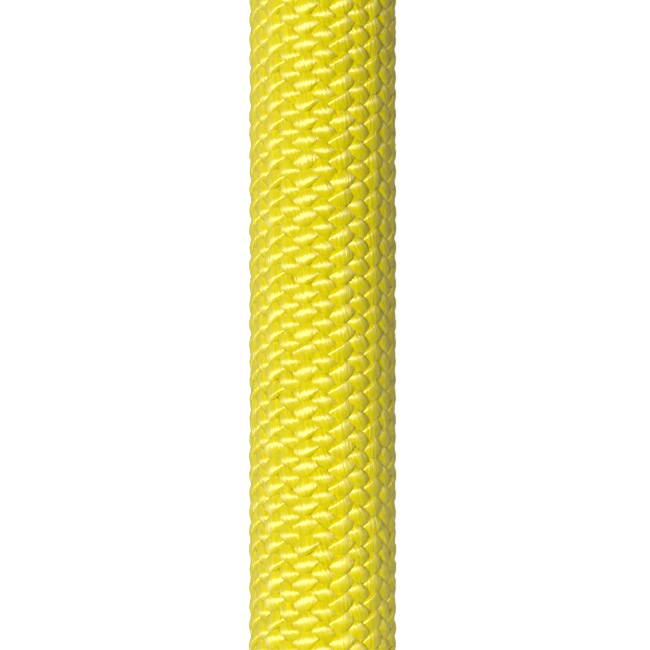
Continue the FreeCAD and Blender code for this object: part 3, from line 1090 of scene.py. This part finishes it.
def finish_node(node, material):
    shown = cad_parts[node]
    shown.data.materials.clear()
    shown.data.materials.append(material)


for strand in range(1, CORE_STRANDS + 1):
    finish_node(f"core_strand_{strand:02d}", strand_material)
finish_node("coil_core", strand_material)
finish_node("tail_core", strand_material)
finish_node("tracer_yarn", tracer_material)
finish_node("identification_tape", film_material)


# The studio

# The camera looks straight down, a little aside of the rope as in the photo, with a long lens
VIEW_WIDTH = 44.2 * MM
CAMERA_ASIDE = 0.17 * MM
LENS = 200.0
SENSOR = 36.0
# Each lamp's name, place, size and power. Both are narrow along the rope, so that the filaments'
# gloss stays in narrow bands, and the side lamp fills the key's shadow.
LAMPS = (
    ("key", (-0.34, 0.05, 1.0), (0.8, 0.20), 15.0),
    ("side", (0.85, 0.05, 0.45), (0.4, 0.25), 3.5),
)
WORLD_STRENGTH = 0.03
# The table glows only for the camera and in reflections, just enough to look white in the light
TABLE_COLOUR = "#B4B4B4"
TABLE_GLOW = 0.88
TABLE_REACH = 4.0
TABLE_RIM = 0.75
TABLE_BEND = 0.4
TABLE_BEND_POINTS = 9
TABLE_STEPS = 96


def view():
    camera_data = bpy.data.cameras.new("camera")
    camera_data.lens = LENS
    camera_data.sensor_width = SENSOR
    camera = bpy.data.objects.new("camera", camera_data)
    camera.location = (CAMERA_ASIDE, 0, VIEW_WIDTH * LENS / SENSOR)
    bpy.context.scene.collection.objects.link(camera)
    bpy.context.scene.camera = camera
    bpy.context.scene.view_settings.view_transform = "Standard"


def light():
    for name, place, size, power in LAMPS:
        lamp_data = bpy.data.lights.new(name, "AREA")
        lamp_data.shape = "RECTANGLE"
        lamp_data.size, lamp_data.size_y = size
        lamp_data.energy = power
        lamp = bpy.data.objects.new(name, lamp_data)
        back = Vector(place).normalized()
        level = (Vector((1, 0, 0)) - back * back.x).normalized()
        turn = Matrix((level, back.cross(level), back)).transposed()
        lamp.matrix_world = Matrix.Translation(place) @ turn.to_4x4()
        bpy.context.scene.collection.objects.link(lamp)
    world = bpy.data.worlds.new("studio")
    bpy.context.scene.world = world
    world.use_nodes = True
    background = world.node_tree.nodes["Background"]
    background.inputs["Color"].default_value = (1, 1, 1, 1)
    background.inputs["Strength"].default_value = WORLD_STRENGTH


def white_table():
    """Matt white board, which glows as well where the camera sees it, itself or in a gloss."""
    made, tree = new_material("white_table")
    diffuse = add(tree, "ShaderNodeBsdfDiffuse", {"Color": colour(TABLE_COLOUR)})["BSDF"]
    ray = add(tree, "ShaderNodeLightPath")
    seen = add(
        tree, "ShaderNodeMath", {0: ray["Is Camera Ray"], 1: ray["Is Glossy Ray"]}, operation="MAXIMUM"
    )["Value"]
    seen = add(
        tree, "ShaderNodeMath", {0: seen, 1: ray["Is Transmission Ray"]}, operation="MAXIMUM"
    )["Value"]
    strength = add(tree, "ShaderNodeMath", {0: seen, 1: TABLE_GLOW}, operation="MULTIPLY")["Value"]
    glow = add(tree, "ShaderNodeEmission", {"Strength": strength})["Emission"]
    both = add(tree, "ShaderNodeAddShader", {0: diffuse, 1: glow})["Shader"]
    add(tree, "ShaderNodeOutputMaterial", {"Surface": both})
    return made


def table():
    """A round table whose far rim curves up, so that a low view ends on it."""
    profile = [(0, 0)]
    for angle in np.linspace(0, math.pi / 2, TABLE_BEND_POINTS):
        reach = TABLE_REACH - TABLE_BEND + TABLE_BEND * math.sin(angle)
        profile.append((reach, TABLE_BEND * (1 - math.cos(angle))))
    profile.append((TABLE_REACH, TABLE_RIM))
    bm = bmesh.new()
    line = [bm.verts.new((radius, 0, height)) for radius, height in profile]
    for first, second in zip(line, line[1:]):
        bm.edges.new((first, second))
    bmesh.ops.spin(
        bm, geom=bm.verts[:] + bm.edges[:], cent=(0, 0, 0), axis=(0, 0, 1),
        angle=2 * math.pi, steps=TABLE_STEPS, use_merge=True,
    )
    bmesh.ops.remove_doubles(bm, verts=bm.verts, dist=MM)
    bmesh.ops.recalc_face_normals(bm, faces=bm.faces)
    bmesh.ops.translate(bm, verts=bm.verts, vec=(0, 0, -rope_radius))
    for face in bm.faces:
        face.smooth = True
    mesh = bpy.data.meshes.new("floor")
    bm.to_mesh(mesh)
    bm.free()
    mesh.materials.append(white_table())
    made = bpy.data.objects.new("floor", mesh)
    bpy.context.scene.collection.objects.link(made)


view()
light()
table()
